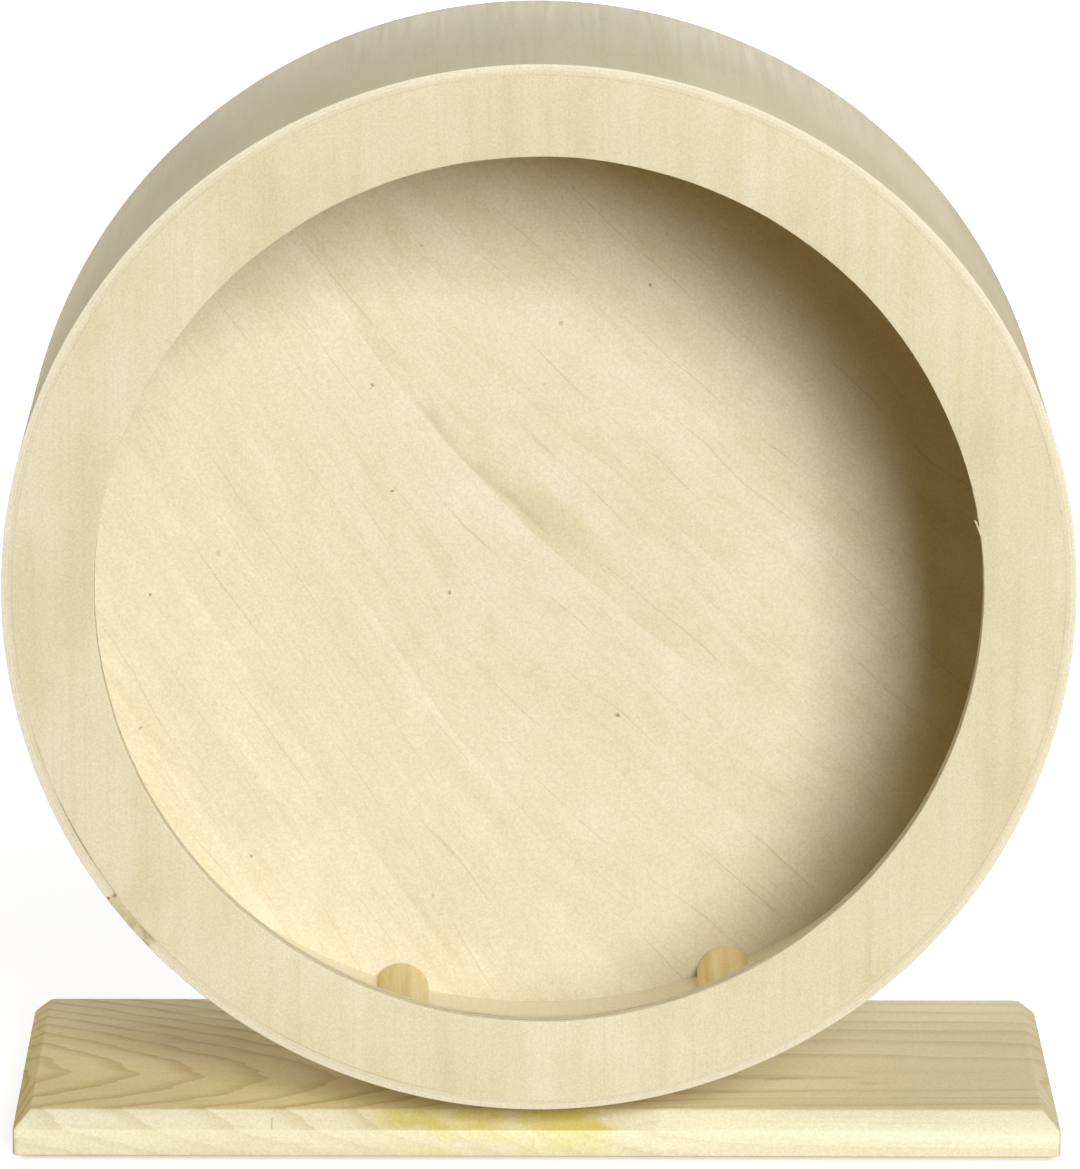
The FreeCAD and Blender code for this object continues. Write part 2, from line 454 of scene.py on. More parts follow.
def disc_veneer():
    """The back disc's veneer: slanting growth lines that bend at the left, and a dark patch by the strongest.

    Hair lines, specks and a few dark flecks lie over them, and shade is painted on the disc, darker towards
    its edge."""
    # Each growth line's place across the grain, its two ends along it, in mm, and its strength
    growth_lines = (
        (52, -40, 90, 0.35), (23, -90, 66, 0.6),
        (-4, -105, 58, 1), (-27, 0, 150, 0.35),
        (-70, -120, 90, 0.5), (-100, -110, 60, 0.3),
        (-131, -100, 100, 0.5), (-187, -90, 90, 0.4),
    )
    # Each dark fleck's place to the right of the axis and above it, and its size, in mm
    flecks = (
        (-46.3, 37.3, 0.9), (23, -58, 1), (31.3, 66, 0.8), (-40.8, 6.8, 0.7),
        (-24.5, -22.5, 0.7), (-108.8, -23.3, 0.8), (-80.8, -99.5, 0.8), (-112, -62, 0.7),
    )
    grain_right = 0.75
    grain_down = 0.66
    bend_from = 23.6 * MM
    bend_slant = 0.222
    bend_blur = 25 * MM
    bend_share = 0.65
    sway_width = 9 * MM
    light_side = 9 * MM
    dark_side = 12 * MM
    edge_blur = 0.5 * MM
    line_width = 0.35 * MM
    line_depth = 1.5
    line_fade = 15 * MM
    line_contrast = 0.1
    hair_spacing = 15 * MM
    patch_middle = (6 * MM, 0, 2 * MM)
    patch_halves = (28 * MM, 0, 8 * MM)
    patch_depth = 0.24
    fleck_strength = 0.65
    painted_shade_at_edge = 0.92

    look = Look("disc_veneer")
    centred = look.vector_math("SUBTRACT", look.place, (0, 0, axis_z))
    x, y, z = look.parts(centred)
    along = look.scaled(z, -grain_down, look.times(x, grain_right))
    straight = look.scaled(z, grain_right, look.times(x, grain_down))
    leftward = look.math("ADD", look.scaled(z, bend_slant, x), bend_from)
    bent = look.math("SMOOTH_MIN", leftward, 0, bend_blur)
    sway = look.noise((14, 0, 14), 4, at=centred)
    swayed = look.scaled(look.minus(sway, 0.5), sway_width, straight)
    across = look.scaled(bent, bend_share, swayed)
    grain = look.vector(along, y, across)

    streak = look.noise((9, 9, 80), 3, at=grain)
    cloud = look.noise((60, 60, 90), 4, 0.65, at=grain)
    tone = look.scaled(streak, 0.25, look.scaled(cloud, 0.4, -0.325))
    fading = look.ramp(look.noise((18, 0, 6), 2, at=grain), 0.3, 0.65, 0.3, 1)
    for place, start, end, strength in growth_lines:
        past = look.minus(across, place * MM)
        below = look.ramp(past, edge_blur, -edge_blur)
        light = look.times(look.ramp(past, -light_side, 0), below)
        dark = look.times(look.ramp(past, dark_side, 0), look.minus(1, below))
        line = look.band(past, 0, line_width, line_width)
        step = look.minus(look.minus(light, dark), look.times(line, line_depth))
        shown = look.times(look.band(along, start * MM, end * MM, line_fade), fading)
        tone = look.scaled(step, look.times(shown, line_contrast * strength), tone)
    darker = look.ramp(look.oval(grain, patch_middle, patch_halves), 1, 0.2, 0, patch_depth)
    tone = look.minus(tone, look.times(darker, look.ramp(cloud, 0.3, 0.6)))
    hair_wander = look.noise((5, 0, 40), 2, at=grain)
    hair_place = look.math("PINGPONG", look.scaled(hair_wander, 2 * hair_spacing, across), hair_spacing / 2)
    hair_broken = look.ramp(look.noise((30, 0, 60), 2, at=grain), 0.45, 0.6, 0, 0.22)
    hair = look.times(look.ramp(hair_place, line_width, 0), hair_broken)
    fibre = look.noise((24, 60, 800), 3, 0.6, at=grain)
    look.colour = look.mix(look.ramp(tone, -0.5, 0.5), srgb(214, 204, 166), srgb(245, 240, 221))
    look.paint(look.ramp(fibre, 0.5, 0.75, 0, 0.14), srgb(204, 184, 138))
    look.paint(hair, srgb(150, 128, 84))
    specks = look.ramp(look.noise((230, 0, 230), 1, at=centred), 0.76, 0.82, 0, 0.3)
    look.paint(specks, srgb(128, 104, 62))
    ragged = look.ramp(look.noise((900, 0, 900), 2, at=centred), 0.3, 0.7, 0.5, 1.6)
    for right, up, size in flecks:
        spread = look.oval(centred, (right * MM, 0, up * MM), (size * MM, 0, size * MM))
        fleck = look.ramp(look.times(spread, ragged), 0.9, 0.2, 0, fleck_strength)
        look.paint(fleck, srgb(120, 96, 56))
    # Painted shade: the disc grows darker towards its edge, by the running floor.
    painted_edge_shade = look.ramp(look.from_axis(), floor_radius / 2, floor_radius, 1, painted_shade_at_edge)
    look.brighten(painted_edge_shade)
    return look.finish_wood(fibre)


def ply_edge(name, measure_of, start, thickness, layers):
    """The cut edge of plywood: layers with thin glue lines between them.

    measure_of(look) gives the place across the layers, which are counted from start."""
    look = Look(name)
    wave = look.noise((50, 50, 50), 2)
    depth = look.math("DIVIDE", look.minus(measure_of(look), start), thickness / layers)
    count = look.scaled(look.minus(wave, 0.5), 0.3, depth)
    middle = look.math("PINGPONG", count, 0.5)
    broken = look.ramp(look.noise((90, 900, 90), 2), 0.35, 0.6, 0, 0.75)
    within = look.band(depth, 0.5, layers - 0.5, 0.1)
    line = look.times(look.ramp(middle, 0.12, 0.03), broken, within)
    fibre = look.noise((500, 900, 500), 3, 0.65)
    crossed = look.math("PINGPONG", look.math("FLOOR", count), 1)
    look.colour = look.mix(crossed, srgb(246, 238, 212), srgb(238, 226, 194))
    look.paint(look.ramp(fibre, 0.45, 0.75, 0, 0.25), srgb(200, 178, 130))
    look.paint(line, srgb(112, 94, 56))
    return look, fibre


def along_y(look):
    """How far back the shaded point is."""
    return look.parts()[1]


def ring_edge():
    """The sawn inside of the ring's hole."""
    look, fibre = ply_edge("ring_edge", along_y, drum_front, ring_back - drum_front, 3)
    return look.finish_wood(fibre)


def disc_edge():
    """The sawn outside of the back disc."""
    look, fibre = ply_edge("disc_edge", along_y, disc_front, drum_back - disc_front, 5)
    return look.finish_wood(fibre)


def rim_edge():
    """The thin pale edge of the bent strip, stained by glue where its ends lap, most of all at each end."""
    sanded_share = 0.75
    lap_blur = 0.5 * DEGREE
    lap_strength = 0.75
    first_half_width = 0.2 * DEGREE
    first_blur = 0.3 * DEGREE
    last_width = 1 * DEGREE
    last_blur = 1.2 * DEGREE
    last_strength = 0.55

    look, fibre = ply_edge("rim_edge", Look.from_axis, floor_radius, rim_thickness, 3)
    share = look.math("DIVIDE", look.minus(look.from_axis(), floor_radius), rim_thickness)
    smooth = look.mix(look.ramp(share, 0.15, 0.5), srgb(224, 214, 182), srgb(238, 231, 204))
    look.paint(sanded_share, smooth)
    angle = look.around_axis()
    ragged = look.ramp(look.noise((300, 0, 300), 3, 0.6), 0.35, 0.6, 0.45, 1)
    lap = look.times(look.band(angle, scarf_start, scarf_end, lap_blur), ragged, lap_strength)
    stain = look.mix(look.ramp(angle, scarf_start, scarf_end), srgb(204, 194, 140), srgb(172, 146, 100))
    look.paint(lap, stain)
    blotch = look.ramp(look.noise((700, 0, 700), 1), 0.4, 0.6)
    first = look.band(angle, scarf_start - first_half_width, scarf_start + first_half_width, first_blur)
    look.paint(look.times(first, blotch), srgb(126, 98, 62))
    last = look.band(angle, scarf_end - last_width, scarf_end, last_blur)
    look.paint(look.times(last, ragged, ragged, last_strength), srgb(150, 112, 74))
    return look.finish_wood(fibre)


def bent_veneer(name, pale, tan, fibre_colour):
    """A face of the rim strip: smooth, with its grain across the strip so that it bends."""
    look = Look(name)
    grain = look.kept("grain")
    fibre = look.noise((700, 18, 100), 3, 0.6, at=grain)
    streak = look.noise((55, 5, 10), 3, at=grain)
    cloud = look.noise((14, 12, 10), 2, at=grain)
    tone = look.scaled(streak, 0.35, look.times(cloud, 0.65))
    look.colour = look.mix(look.ramp(tone, 0.35, 0.65), tan, pale)
    look.paint(look.ramp(fibre, 0.5, 0.75, 0, 0.12), fibre_colour)
    return look.finish_wood(fibre)


def rim_outside():
    """The outside of the rim: greyish tan."""
    return bent_veneer("rim_outside", srgb(238, 229, 195), srgb(228, 218, 182), srgb(196, 180, 140))


def running_floor():
    """The inside of the rim, which the animal runs on: paler."""
    return bent_veneer("running_floor", srgb(252, 246, 226), srgb(248, 240, 216), srgb(216, 196, 154))


def pine(name, grain_of, rings_along, contrast):
    """Solid pine: arched growth rings, each pale at first, then darker, then ending sharply.

    grain_of(look) gives the place along the grain, across it from the line of the arches' tips, and down
    into the board. rings_along(look, along) counts the tips, contrast(look) is how strongly rings show."""
    arch_growth = 0.0088
    arch_power = 1.57
    rings_down = 0.17 / MM
    look = Look(name)
    along, across, down = grain_of(look)
    board = look.vector(along, across, down)
    aside = look.math("DIVIDE", look.math("ABSOLUTE", across), MM)
    arched = look.times(look.math("POWER", aside, arch_power), arch_growth)
    wave = look.scaled(look.noise((30, 60, 60), 3, at=board), 0.3, -0.15)
    kinks = look.scaled(look.noise((7, 120, 60), 2, at=board), 0.7, -0.35)
    rings = rings_along(look, along)
    for shift in (arched, wave, kinks):
        rings = look.math("ADD", rings, shift)
    rings = look.scaled(down, -rings_down, rings)
    age = look.math("FRACT", rings)
    late = look.times(look.ramp(age, 0.5, 0.96), look.ramp(age, 1, 0.95))
    year = look.math("FLOOR", rings)
    streaked = look.vector(look.times(along, 9), year, 0)
    hard = look.ramp(look.noise((1, 1, 1), 1, at=streaked), 0.3, 0.7, 0.5, 1)
    fine = look.noise((14, 600, 600), 3, 0.6, at=board)
    cloud = look.noise((9, 45, 45), 3, at=board)
    look.colour = look.mix(look.ramp(cloud, 0.3, 0.7), srgb(244, 238, 202), srgb(251, 246, 216))
    look.paint(look.times(late, hard, contrast(look)), srgb(206, 184, 124))
    look.paint(look.ramp(fine, 0.5, 0.75, 0, 0.16), srgb(206, 184, 134))
    return look, fine


def base_pine():
    """The base's pine: grain along X, arches that point right at the left end, yellower ends, and painted
    shade on the top and the left end.

    The top has resin marks. The front has a short crack, the drum's shadow painted on its bevel, and a yellow
    stain."""
    first_tip = -130 * MM
    tip_pitch = 18.7 * MM
    right_rings = 7.74
    right_pitch = 300 * MM
    heart_left = -16 * MM
    heart_right = -24.5 * MM
    front_crowding = 1.6
    back_crowding = 0.85
    # Each resin mark's place on the top, its half length and half width, in mm, and its strength
    resin_marks = (
        (70, -24.2, 9, 1.8, 0.3), (66, -25, 4, 1.5, 0.35), (93, -28.7, 6, 3, 0.15),
    )
    bevel_back = base_low.y + 4 * MM
    top_front = base_low.y + 6 * MM
    edge_blur = 0.3 * MM
    # Colour for the yellower end grain, and for the shade painted on the top and the left end.
    yellower = (0.74, 0.61, 0.34, 1)
    crack_x = -72.6 * MM
    crack_width = 0.3 * MM
    crack_height = 2.8 * MM
    crack_strength = 0.5
    # The drum's shadow, painted on the front bevel: its middle, where it is full and where it fades out.
    painted_shadow_middle = -9 * MM
    painted_shadow_inner = 20 * MM
    painted_shadow_outer = 60 * MM

    def bevel_share(look, z, below, above):
        return look.ramp(z, bevel_foot - edge_blur, bevel_foot + edge_blur, below, above)

    def grain_of(look):
        x, y, z = look.parts()
        heart = look.ramp(x, -165 * MM, -55 * MM, heart_left, heart_right)
        across = look.minus(y, heart)
        front = look.ramp(x, -40 * MM, 60 * MM, 1, front_crowding)
        back = look.ramp(x, -40 * MM, 60 * MM, 1, back_crowding)
        crowding = look.ramp(across, -2 * MM, 2 * MM, front, back)
        return x, look.times(across, crowding), look.minus(base_high.z, z)

    def rings_along(look, along):
        left = look.math("DIVIDE", look.minus(along, first_tip), tip_pitch)
        right = look.scaled(along, 1 / right_pitch, right_rings)
        return look.math("SMOOTH_MIN", left, right, 1)

    def contrast(look):
        x, y, z = look.parts()
        on_top = look.ramp(x, -20 * MM, 70 * MM, 0.7, 0.42)
        on_bevel = look.ramp(x, -60 * MM, 0, 0.42, 0.14)
        on_front = bevel_share(look, z, 0.2, on_bevel)
        return look.ramp(y, bevel_back, top_front, on_front, on_top)

    look, fine = pine("base_pine", grain_of, rings_along, contrast)
    x, y, z = look.parts()
    past_end = look.minus(look.math("ABSOLUTE", x), base_high.x)
    past_side = look.minus(look.math("ABSOLUTE", y), base_high.y)
    at_end = look.ramp(look.minus(past_end, past_side), -edge_blur, edge_blur)
    # The ends are yellower as end grain, and more so at the left end as painted shade. The top is darker and
    # yellower as painted shade, most at the left where the drum's shadow falls.
    end_grain_and_left_shade = look.ramp(x, base_low.x, base_high.x, 0.85, 0.42)
    end = look.times(at_end, look.ramp(past_end, -5.4 * MM, -4.6 * MM, 0, end_grain_and_left_shade))
    painted_shade_left = look.ramp(x, -100 * MM, 60 * MM, 0.7, 0.42)
    top = look.ramp(z, base_high.z - 0.6 * MM, base_high.z - 0.2 * MM, 0, painted_shade_left)
    end_grain_and_shade_tint = look.mix(look.math("MAXIMUM", end, top), WHITE, yellower)
    look.colour = look.vector_math("MULTIPLY", look.colour, end_grain_and_shade_tint)
    for mark_x, mark_y, half_length, half_width, strength in resin_marks:
        mark = (mark_x * MM, mark_y * MM, base_high.z)
        spread = look.oval(look.place, mark, (half_length * MM, half_width * MM, 0))
        look.paint(look.ramp(spread, 1, 0, 0, strength), srgb(140, 116, 66))

    front = look.ramp(y, top_front, bevel_back)
    crooked = look.scaled(look.noise((0, 0, 500), 2), 1 * MM, x)
    crack = look.band(crooked, crack_x, crack_x + crack_width, crack_width / 2)
    upright = look.band(z, bevel_foot + edge_blur, bevel_foot + crack_height, 0.5 * MM)
    look.paint(look.times(crack, upright, front, crack_strength), srgb(130, 108, 64))
    on_bevel = bevel_share(look, z, 0, 1)
    # Painted shadow of the drum on the front bevel, darkest a little left of the middle.
    off_painted_shadow = look.math("ABSOLUTE", look.minus(x, painted_shadow_middle))
    painted_drum_shadow = look.ramp(off_painted_shadow, painted_shadow_outer, painted_shadow_inner, -0.07, -0.22)
    look.brighten(look.math("ADD", look.times(painted_drum_shadow, on_bevel, front), 1))
    patches = look.noise((45, 45, 130), 3)
    below_edge = look.ramp(patches, 0.35, 0.65, 0, 0.52)
    below_edge = look.times(below_edge, look.band(x, -40 * MM, 20 * MM, 10 * MM))
    # The yellow stain is real; on the bevel it is painted stronger and darker olive, partly as the drum's
    # shade.
    bevel_stain_and_shade = look.ramp(patches, 0.38, 0.62, 0.25, 0.85)
    bevel_stain_and_shade = look.times(bevel_stain_and_shade, look.band(x, -44 * MM, 24 * MM, 8 * MM))
    stain = look.ramp(on_bevel, 0, 1, below_edge, bevel_stain_and_shade)
    stain_and_bevel_shade_colour = look.mix(on_bevel, srgb(238, 233, 138), srgb(206, 190, 84))
    look.paint(look.times(stain, front), stain_and_bevel_shade_colour)
    return look.finish_wood(fine)


def post_pine():
    """The post's pine, with its grain upright and its arches pointing up."""
    heart_across = 9 * MM
    tip_pitch = 55 * MM
    ring_contrast = 0.6

    def grain_of(look):
        x, y, z = look.parts()
        return z, look.minus(x, heart_across), look.minus(post_high.y, y)

    def rings_along(look, along):
        return look.math("DIVIDE", along, tip_pitch)

    look, fine = pine("post_pine", grain_of, rings_along, lambda look: ring_contrast)
    return look.finish_wood(fine)


def rung_wood():
    """The rungs' streaky ochre wood, with its grain along them. Those further right are paler as painted
    light.
    """
    painted_light_from = -35 * MM
    painted_light_to = 40 * MM
    painted_light_most = 1.24
    look = Look("rung_wood")
    fibre = look.noise((800, 16, 800), 3, 0.6)
    streak = look.noise((260, 7, 260), 3)
    look.colour = look.mix(look.ramp(streak, 0.3, 0.7), srgb(220, 200, 146), srgb(238, 224, 178))
    look.paint(look.ramp(fibre, 0.5, 0.75, 0, 0.18), srgb(180, 152, 96))
    # Painted light: the rungs further right are made paler.
    x = look.parts()[0]
    look.brighten(look.ramp(x, painted_light_from, painted_light_to, 1, painted_light_most))
    return look.finish_wood(fibre)


def zinc_steel():
    """Bright zinc on steel, slightly clouded."""
    look = Look("zinc_steel")
    cloud = look.noise((240, 240, 240), 3)
    scratch = look.noise((60, 2400, 2400))
    look.bump(scratch, 0.01 * MM)
    look.colour = look.mix(look.ramp(cloud, 0.3, 0.7), srgb(158, 161, 164), srgb(188, 190, 191))
    return look.finish(look.ramp(cloud, 0.3, 0.7, 0.26, 0.4), specular=0.5, metallic=1)


def nylon():
    """Off-white moulded nylon."""
    look = Look("nylon")
    cloud = look.noise((300, 300, 300))
    look.bump(look.noise((3000, 3000, 3000)), 0.01 * MM)
    look.colour = look.mix(cloud, srgb(226, 225, 218), srgb(236, 235, 229))
    return look.finish(look.ramp(cloud, 0.3, 0.7, 0.35, 0.45), specular=0.5)


# Pieces of the drum


def splinter():
    """A sliver of wood that has lifted from the edge of the ring's hole, at the right."""
    root = 98 * DEGREE
    tip = 100.1 * DEGREE
    root_radius = opening_radius + 0.2 * MM
    tip_radius = opening_radius - 0.9 * MM
    thickness = 0.6 * MM
    taper = 0.4
    steps = 8
    middle_y = drum_front + thickness / 2
    loops = []
    for step in range(steps + 1):
        share = step / steps
        angle = root + (tip - root) * share
        radius = root_radius + (tip_radius - root_radius) * share
        half = thickness / 2 * (1 - taper * share)
        square = ((half, half), (-half, half), (-half, -half), (half, -half))
        loops.append([on_wheel(radius + out, angle, middle_y + back) for out, back in square])
    return stacked("splinter", loops)


def front_ring():
    """The flat ring, with softened edges and a hole that was sawn by eye."""
    saw_wander = 0.12 * MM

    def saw_line(angle, radius):
        if radius > opening_radius + arris:
            return 0
        around = Vector((math.cos(angle), math.sin(angle), 0))
        return saw_wander * (noise.noise(around * 6) + 0.5 * noise.noise(around * 40))

    face, inside, hidden = 0, 1, 2
    outline = eased([
        (opening_radius, ring_back, arris, inside),
        (opening_radius, drum_front, arris, face),
        (floor_radius, drum_front, 0, hidden),
        (floor_radius, ring_back, arris, hidden),
    ])
    piece = joined("drum_front_ring", [turned("ring", outline, wander=saw_line), splinter()])
    make_piece(piece, "drum", ["front_ring"], [ring_veneer(), ring_edge(), inner_veneer()])


def back_disc():
    """The closed disc at the back of the drum."""
    face, outside = 0, 1
    outline = eased([
        (0, disc_front, 0, face),
        (floor_radius, disc_front, 0, outside),
        (floor_radius, drum_back, arris, face),
        (0, drum_back, 0, face),
    ])
    piece = turned("drum_back_disc", outline)
    make_piece(piece, "drum", ["back_disc"], [disc_veneer(), disc_edge()])


def rim_strip():
    """The bent strip. Its first end tapers from the inside, its last end from the outside, and they lap."""
    outside, inside, edges = 0, 1, 2
    feather = 0.12 * MM
    lap_gap = 0.04 * MM
    taper = rim_thickness - feather - lap_gap
    lap = scarf_end - scarf_start
    points = []
    grain = []
    for turn in range(round_steps + 1):
        swept = (math.tau + lap) * turn / round_steps
        into_lap = max(0, 1 - swept / lap)
        out_of_lap = max(0, (swept - math.tau) / lap)
        inner = floor_radius + into_lap * taper + lap_gap * (into_lap > 0)
        outer = wheel_radius - out_of_lap * taper - lap_gap * (out_of_lap > 0)
        ease = min(arris, 0.4 * (outer - inner))
        section = eased([
            (inner, drum_back, ease, inside),
            (inner, drum_front, 0, edges),
            (outer, drum_front, ease, outside),
            (outer, drum_back, ease, edges),
        ])
        for radius, y, _ in section:
            points.append(on_wheel(radius, scarf_start + swept, y))
            grain.append((swept * wheel_radius, y, radius))
    faces = capped(round_steps + 1, len(section))
    slots = [slot for _, _, slot in section] * round_steps + [edges, edges]
    piece = mesh_object("drum_rim_strip", points, faces, slots, grain)
    make_piece(piece, "drum", ["rim_strip"], [rim_outside(), running_floor(), rim_edge()])


def rung(node, material):
    """A half-round rung, planed underneath to the curve of the running floor."""
    points_of = corners(node)
    middle = sum(points_of, Vector()) / len(points_of)
    facing = math.atan2(middle.x, axis_z - middle.z)
    low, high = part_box(node)
    half_width = 0
    for point in points_of:
        turn = math.atan2(point.x, axis_z - point.z) - facing
        half_width = max(half_width, from_axis(point) * math.sin(turn))
    rise = floor_radius - radii(node)[0]
    floor_rise = floor_radius - math.sqrt(floor_radius ** 2 - half_width ** 2)
    bar_radius = (half_width ** 2 + (rise - floor_rise) ** 2) / (2 * (rise - floor_rise))
    bar_centre = floor_radius - rise + bar_radius
    spread = math.asin(half_width / bar_radius)
    steps = 24
    profile = []
    for step in range(steps + 1):
        lean = spread * (2 * step / steps - 1)
        across = bar_radius * math.sin(lean)
        out = bar_centre - bar_radius * math.cos(lean)
        profile.append((facing + math.atan2(across, out), math.hypot(across, out)))
    foot = math.asin(half_width / floor_radius)
    for step in range(1, steps):
        profile.append((facing + foot * (1 - 2 * step / steps), floor_radius))
    points = []
    for y in (low.y, high.y):
        points += [on_wheel(radius, angle, y) for angle, radius in profile]
    piece = mesh_object("drum_" + node, points, capped(2, len(profile)))
    make_piece(piece, "drum", [node], [material])


# Pieces of the stand


def screw_spots():
    """The middles of the two screw heads under the base."""
    heads = [point for point in corners("post_screws") if point.z < base_low.z + 2 * MM]
    spots = []
    for side in (-1, 1):
        mine = [point for point in heads if point.x * side > 0]
        spots.append(sum(mine, Vector()) / len(mine))
    return spots


def base_board():
    """The plank, with bevelled top edges, lightly sanded arrises and two countersunk holes underneath."""
    corner_round = 1.5 * MM
    sanded = 0.4 * MM
    under_round = 0.5 * MM
    steps = 5
    # Each level's height and how far it lies in from the sides
    levels = (
        (base_low.z, under_round),
        (base_low.z + 0.3 * under_round, 0.3 * under_round),
        (base_low.z + under_round, 0),
        (bevel_foot - sanded, 0),
        (bevel_foot + 0.6 * sanded, 0.75 * sanded),
        (base_high.z - 0.6 * sanded, base_bevel - 0.75 * sanded),
        (base_high.z - 0.1 * sanded, base_bevel + 0.3 * sanded),
        (base_high.z, base_bevel + sanded),
    )
    quarter_turns = ((1, 1, 0), (-1, 1, 90), (-1, -1, 180), (1, -1, 270))
    middle = (base_low + base_high) / 2
    half = (base_high - base_low) / 2
    loops = []
    for z, inset in levels:
        loop = []
        for way_x, way_y, first in quarter_turns:
            for step in range(steps):
                angle = math.radians(first + 90 * step / (steps - 1))
                x = way_x * (half.x - inset - corner_round) + corner_round * math.cos(angle)
                y = way_y * (half.y - inset - corner_round) + corner_round * math.sin(angle)
                loop.append((middle.x + x, middle.y + y, z))
        loops.append(loop)
    piece = stacked("stand_base_board", loops)
    head_radius = max(abs(point.y - screw_spots()[0].y) for point in corners("post_screws"))
    deep = head_radius + min(point.z for point in corners("post_screws")) - base_low.z
    past = 1 * MM
    for spot in screw_spots():
        sunk = [(0, -past, 0), (deep + past, -past, 0), (0, deep, 0)]
        cut(piece, turned("countersink", sunk, 48, about(spot)))
    make_piece(piece, "stand", ["base_board"], [base_pine()])


def upright_post():
    """The post: a board with a round top and softened edges, bored for the bushes."""
    edge = 1 * MM
    arch_steps = 96
    half_width = (post_high.x - post_low.x) / 2
    bore = radii("upright_post")[0]
    levels = [(post_low.y, edge), (post_low.y + 0.3 * edge, 0.3 * edge), (post_low.y + edge, 0),
              (post_high.y - edge, 0), (post_high.y - 0.3 * edge, 0.3 * edge), (post_high.y, edge)]
    loops = []
    for y, inset in levels:
        reach = half_width - inset
        loop = [(reach, y, post_low.z)]
        for step in range(arch_steps + 1):
            angle = math.pi * step / arch_steps
            loop.append((reach * math.cos(angle), y, axis_z + reach * math.sin(angle)))
        loop.append((-reach, y, post_low.z))
        loops.append(loop)
    piece = stacked("stand_upright_post", loops)
    front = post_low.y - edge
    back = post_high.y + edge
    hole = [(0, front, 0), (bore, front, 0), (bore, back, 0), (0, back, 0)]
    cut(piece, turned("bore", hole, 72))
    make_piece(piece, "stand", ["upright_post"], [post_pine()])


# Fasteners


def cross_pit(spot, face, deep, arm, width):
    """The shape that a cross-head driver fits, standing up into a screw's head from its face."""
    loops = []
    for height, share in ((face - 0.5 * MM, 1.1), (face + deep, 0.55)):
        near = width / 2 * share
        far = arm / 2 * share
        plus = [(far, near), (near, near), (near, far), (-near, far), (-near, near), (-far, near),
                (-far, -near), (-near, -near), (-near, -far), (near, -far), (near, -near), (far, -near)]
        loops.append([(spot.x + x, spot.y + y, height) for x, y in plus])
    return stacked("cross", loops)


def post_screws(material):
    """The two countersunk screws under the base, with cross recesses."""
    low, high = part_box("post_screws")
    head_radius = (high.y - low.y) / 2
    shank = head_radius / 2
    head_edge = low.z + 0.3 * MM
    tip = 5 * MM
    outline = [(0, low.z, 0), (head_radius, low.z, 0), (head_radius, head_edge, 0),
               (shank, head_edge + head_radius - shank, 0), (shank, high.z - tip, 0), (0, high.z, 0)]
    screws = []
    for spot in screw_spots():
        screw = turned("post_screw", outline, 48, about(spot))
        cut(screw, cross_pit(spot, low.z, deep=2 * MM, arm=4.6 * MM, width=1.1 * MM))
        screws.append(screw)
    make_piece(joined("stand_post_screws", screws), "stand", ["post_screws"], [material])


def axle(material):
    """The steel plate on the back of the disc and the threaded stud welded to it."""
    pitch = 1.25 * MM
    depth = 0.6 * MM
    bevel = 0.8 * MM
    rows_to_pitch = 10
    around = 48
    low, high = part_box("axle_plate")
    plate_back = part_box("front_washer")[0].y
    nut_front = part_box("lock_nut")[0].y
    plate_radius = radii("axle_plate")[1]
    stud_radius = max(from_axis(point) for point in corners("axle_plate") if point.y > high.y - arris)
    smooth = eased([
        (0, low.y, 0, 0), (plate_radius, low.y, arris, 0), (plate_radius, plate_back, 2 * arris, 0),
        (stud_radius, plate_back, arris, 0), (stud_radius, nut_front, 0, 0), (0, nut_front, 0, 0),
    ])
    rows = round((high.y - nut_front) / pitch * rows_to_pitch)
    points = []
    for row in range(rows + 1):
        y = nut_front + (high.y - nut_front) * row / rows
        for turn in range(around):
            crest = abs((y / pitch - turn / around) % 1 - 0.5) * 2
            radius = min(stud_radius - depth * crest, stud_radius - bevel + (high.y - y))
            points.append(on_wheel(radius, math.tau * turn / around, y))
    thread = mesh_object("thread", points, capped(rows + 1, around))
    whole = joined("drum_axle_plate", [turned("plate", smooth, 144), thread])
    make_piece(whole, "drum", ["axle_plate"], [material])


def washer(node, material):
    """A plain stamped washer."""
    low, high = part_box(node)
    bore, edge = radii(node)
    outline = eased([(bore, low.y, arris / 2, 0), (edge, low.y, arris, 0), (edge, high.y, arris, 0),
                     (bore, high.y, arris / 2, 0)])
    make_piece(turned("drum_" + node, outline, 96), "drum", [node], [material])


def lock_nut(material, insert_material):
    """The hexagon lock nut: chamfered corners, a round collar behind and a nylon ring inside it."""
    low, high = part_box("lock_nut")
    bore, corner = radii("lock_nut")
    flat = corner * math.cos(30 * DEGREE)
    collar = 1.6 * MM
    collar_radius = flat - 0.6 * MM
    collar_lip = bore + 1.2 * MM
    chamfer = 0.9 * MM
    around = 96
    hexagon_back = high.y - collar
    # Each level's place along the axle, and how far out the nut reaches there at most
    levels = [(low.y, bore), (low.y, corner - chamfer), (low.y + chamfer, corner),
              (hexagon_back - chamfer, corner), (hexagon_back, corner - chamfer),
              (hexagon_back, collar_radius), (high.y - collar / 2, collar_radius),
              (high.y, collar_radius - collar / 3), (high.y, collar_lip)]
    points = []
    for y, reach in levels:
        for turn in range(around):
            angle = math.tau * turn / around
            side = flat / math.cos((angle + 30 * DEGREE) % (60 * DEGREE) - 30 * DEGREE)
            points.append(on_wheel(min(side, reach), angle, y))
    piece = mesh_object("drum_lock_nut", points, bands(len(levels), around, closed=True))
    make_piece(piece, "drum", ["lock_nut"], [material])
    ring_edge_radius = bore + 1.15 * MM
    ring_back_y = high.y - 0.3 * MM
    ring = eased([(bore, hexagon_back, 0, 0), (ring_edge_radius, hexagon_back, 0, 0),
                  (ring_edge_radius, ring_back_y, arris, 0), (bore, ring_back_y, arris, 0)])
    insert = turned("drum_nut_insert", ring, 72)
    insert.data.materials.append(insert_material)
    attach(insert, "drum")


# Camera, fitted to the outlines of the ring, the drum and the base in the photograph


